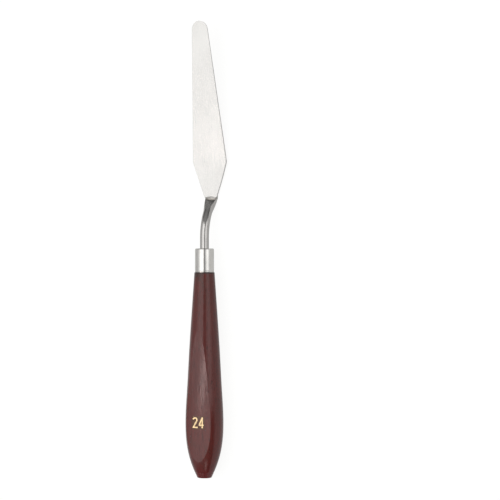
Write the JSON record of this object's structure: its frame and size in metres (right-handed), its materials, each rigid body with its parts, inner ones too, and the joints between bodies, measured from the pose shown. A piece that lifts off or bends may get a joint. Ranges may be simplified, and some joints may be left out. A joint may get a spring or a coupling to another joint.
{
  "type": "palette knife",
  "caption": "Painter's palette knife: trowel-shaped flexible steel blade on a cranked round shank, bright ferrule and a lacquered turned wooden handle with two flats.",
  "frame": {"origin": "centre of the butt's flat end face, on the handle's axis", "axes": "+Y along the handle's axis from the butt to the blade's tip, +Z out of the numbered flat, square to both flats, +X across the blade; the knife lies flat"},
  "size_m": [0.0182, 0.2187, 0.0149],
  "materials": {
    "lacquered_wood": "dark red stain under clear gloss lacquer",
    "nickel_plate": "bright nickel plate on drawn brass",
    "polished_steel": "polished bright",
    "blade_steel": "fine satin, ground along the blade",
    "weld_metal": "dressed smooth",
    "gold_foil": "hot-stamped foil",
    "epoxy": "cured amber adhesive"
  },
  "bodies": {
    "root": {"handle": "lacquered_wood", "ferrule": "nickel_plate", "shank": "polished_steel", "tang_adhesive": "epoxy", "heel_weld": "weld_metal", "size_mark": "gold_foil"},
    "flexing_blade": {"blade": "blade_steel"}
  },
  "joints": [
    {"name": "blade_flex", "type": "hinge", "parent": "root", "child": "flexing_blade", "pos_m": [0, 0.162, -0.0041], "axis": [1, 0, 0], "range_deg": [-25, 25], "stiffness_Nm_per_rad": 2.8, "deforming": ["blade"]}
  ]
}
